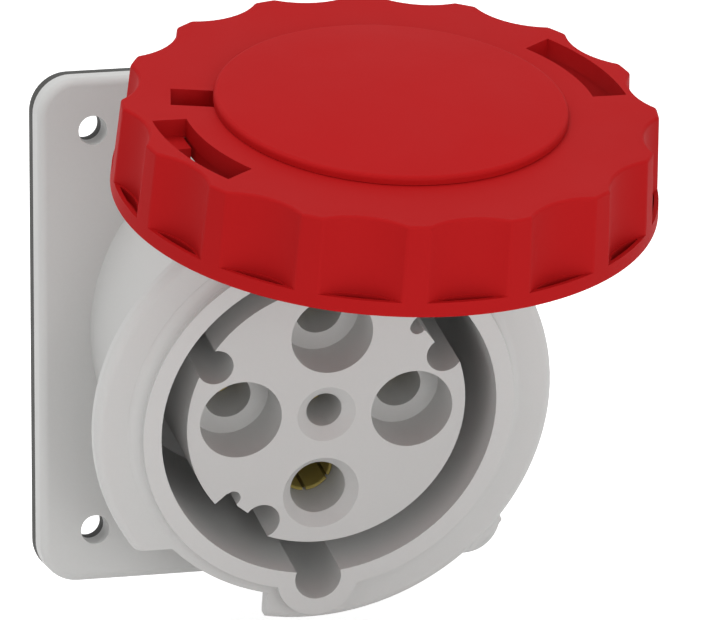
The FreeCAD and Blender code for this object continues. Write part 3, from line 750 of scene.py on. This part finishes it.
class SOCKET_OT_housing(bpy.types.Operator):
    """Finish the flange, tube, collar and hinge ears in satin grey with softly rounded edges"""
    bl_idname = "socket.housing"
    bl_label = "Housing"

    def execute(self, context):
        dress("housing", context.scene.socket_surfaces.edge_round)
        return {"FINISHED"}


class SOCKET_OT_gasket(bpy.types.Operator):
    """Finish the panel gasket in matt black rubber"""
    bl_idname = "socket.gasket"
    bl_label = "Panel gasket"

    def execute(self, context):
        dress("panel_gasket", context.scene.socket_surfaces.rubber_edge)
        return {"FINISHED"}


class SOCKET_OT_insert(bpy.types.Operator):
    """Finish the contact insert, with its wells and edge grooves, and the ring that carries it"""
    bl_idname = "socket.insert"
    bl_label = "Contact insert"

    def execute(self, context):
        dress("insert_body", context.scene.socket_surfaces.edge_round)
        dress("carrier_ring", context.scene.socket_surfaces.edge_round)
        return {"FINISHED"}


class SOCKET_OT_terminals(bpy.types.Operator):
    """Finish the terminal block behind the insert"""
    bl_idname = "socket.terminals"
    bl_label = "Terminal block"

    def execute(self, context):
        dress("terminal_block", context.scene.socket_surfaces.edge_round)
        return {"FINISHED"}


class SOCKET_OT_contacts(bpy.types.Operator):
    """Finish the five slotted brass sleeves and their steel closing springs"""
    bl_idname = "socket.contacts"
    bl_label = "Contacts"

    def execute(self, context):
        edge = context.scene.socket_surfaces.metal_edge
        for name in ("phase_sleeve_top", "phase_sleeve_left", "phase_sleeve_right",
                     "earth_sleeve", "pilot_sleeve",
                     "phase_spring_rings", "earth_spring_ring", "pilot_spring_ring"):
            dress(name, edge)
        return {"FINISHED"}


class SOCKET_OT_screws(bpy.types.Operator):
    """Make the cross-recessed screws of insert, block and dome, and finish the wire screws"""
    bl_idname = "socket.screws"
    bl_label = "Screws"

    def execute(self, context):
        for name in ("terminal_screws", "pilot_screw"):
            dress(name, context.scene.socket_surfaces.metal_edge)
        insert_seats = seats_on_circle(0.0336, -0.0015, (30.0, 150.0, 210.0, 330.0))
        insert = screw_set("insert_screw_set", insert_seats, INSERT_SCREW)
        from_mouth(insert, "socket", "zinc_steel", "insert_screws")
        block_seats = seats_on_circle(0.0222, -0.0224, (45.0, 135.0, 225.0, 315.0))
        block = screw_set("block_screw_set", block_seats, BLOCK_SCREW)
        from_mouth(block, "socket", "zinc_steel", "block_screws")
        dome_seats = seats_on_circle(0.0240, 0.0545, (30.0, 150.0, 270.0))
        dome = screw_set("dome_screw_set", dome_seats, DOME_SCREW)
        dome.data.transform(LID_OPEN)
        from_mouth(dome, "lid", "zinc_steel", "dome_screws")
        return {"FINISHED"}


class SOCKET_OT_seals(bpy.types.Operator):
    """Finish the rubber seals of the insert and the lid"""
    bl_idname = "socket.seals"
    bl_label = "Seals"

    def execute(self, context):
        dress("insert_seal", context.scene.socket_surfaces.rubber_edge * 0.5)
        dress("lid_seal", context.scene.socket_surfaces.rubber_edge)
        return {"FINISHED"}


class SOCKET_OT_hinge(bpy.types.Operator):
    """Finish the hinge pin, its clips and the two washers"""
    bl_idname = "socket.hinge"
    bl_label = "Hinge"

    def execute(self, context):
        for name in ("hinge_pin", "pin_clips", "hinge_washers"):
            dress(name, context.scene.socket_surfaces.metal_edge)
        return {"FINISHED"}


class SOCKET_OT_lid(bpy.types.Operator):
    """Finish the lid's cap and dome in red"""
    bl_idname = "socket.lid"
    bl_label = "Lid"

    def execute(self, context):
        dress("lid_cap", context.scene.socket_surfaces.edge_round)
        dress("lid_dome", context.scene.socket_surfaces.edge_round)
        return {"FINISHED"}


class SOCKET_OT_ring(bpy.types.Operator):
    """Finish the scalloped bayonet ring in red with softly rounded edges"""
    bl_idname = "socket.ring"
    bl_label = "Bayonet ring"

    def execute(self, context):
        dress("bayonet_ring", context.scene.socket_surfaces.edge_round)
        return {"FINISHED"}


class SOCKET_OT_stage(bpy.types.Operator):
    """Set up the floor, the room light, four soft lamps and the camera"""
    bl_idname = "socket.stage"
    bl_label = "Stage"

    def execute(self, context):
        studio = context.scene.socket_studio
        stage_floor(cad_box[0][2], studio.floor_gap)
        stage_room(studio.room_light)
        for name, power, size, place, target in (
                ("overhead", studio.key_light, 1.1, (-0.25, -0.10, 1.40), (0.0, -0.05, 0.0)),
                ("side", studio.side_light, 0.9, (-1.20, -0.90, 0.45), (0.0, -0.04, 0.0)),
                ("front", studio.front_light, 0.45, (-0.10, -1.50, 0.18), (0.0, -0.04, 0.0)),
                ("low", studio.low_light, 0.30, (0.12, -0.85, 0.10), (0.0, -0.05, -0.03))):
            stage_lamp(name, power, size, place, target)
        stage_camera(studio)
        context.scene.view_settings.view_transform = "Standard"
        return {"FINISHED"}


class SOCKET_PT_panel(bpy.types.Panel):
    """The socket's pieces, colours and studio"""
    bl_label = "Industrial panel socket"
    bl_idname = "SOCKET_PT_panel"
    bl_space_type = "VIEW_3D"
    bl_region_type = "UI"
    bl_category = "Socket"

    def draw(self, context):
        column = self.layout.column(align=True)
        for piece in PIECES:
            column.operator(piece.bl_idname)
        for label, group in (("Colours", context.scene.socket_colours),
                             ("Surfaces", context.scene.socket_surfaces),
                             ("Studio", context.scene.socket_studio)):
            box = self.layout.box()
            box.label(text=label)
            for key in group.__annotations__:
                box.prop(group, key)


PIECES = (
    SOCKET_OT_housing, SOCKET_OT_gasket, SOCKET_OT_insert, SOCKET_OT_terminals,
    SOCKET_OT_contacts, SOCKET_OT_screws, SOCKET_OT_seals, SOCKET_OT_hinge,
    SOCKET_OT_lid, SOCKET_OT_ring, SOCKET_OT_stage,
)
GROUPS = (SocketColours, SocketSurfaces, SocketStudio)


def register():
    for kind in GROUPS + PIECES + (SOCKET_PT_panel,):
        bpy.utils.register_class(kind)
    bpy.types.Scene.socket_colours = bpy.props.PointerProperty(type=SocketColours)
    bpy.types.Scene.socket_surfaces = bpy.props.PointerProperty(type=SocketSurfaces)
    bpy.types.Scene.socket_studio = bpy.props.PointerProperty(type=SocketStudio)


def unregister():
    del bpy.types.Scene.socket_studio
    del bpy.types.Scene.socket_surfaces
    del bpy.types.Scene.socket_colours
    for kind in reversed(GROUPS + PIECES + (SOCKET_PT_panel,)):
        bpy.utils.unregister_class(kind)


def main():
    register()
    for piece in PIECES:
        step = getattr(bpy.ops.socket, piece.bl_idname.split(".")[1])
        if step() != {"FINISHED"}:
            raise RuntimeError(piece.bl_label + " was not finished")


if __name__ == "__main__":
    main()
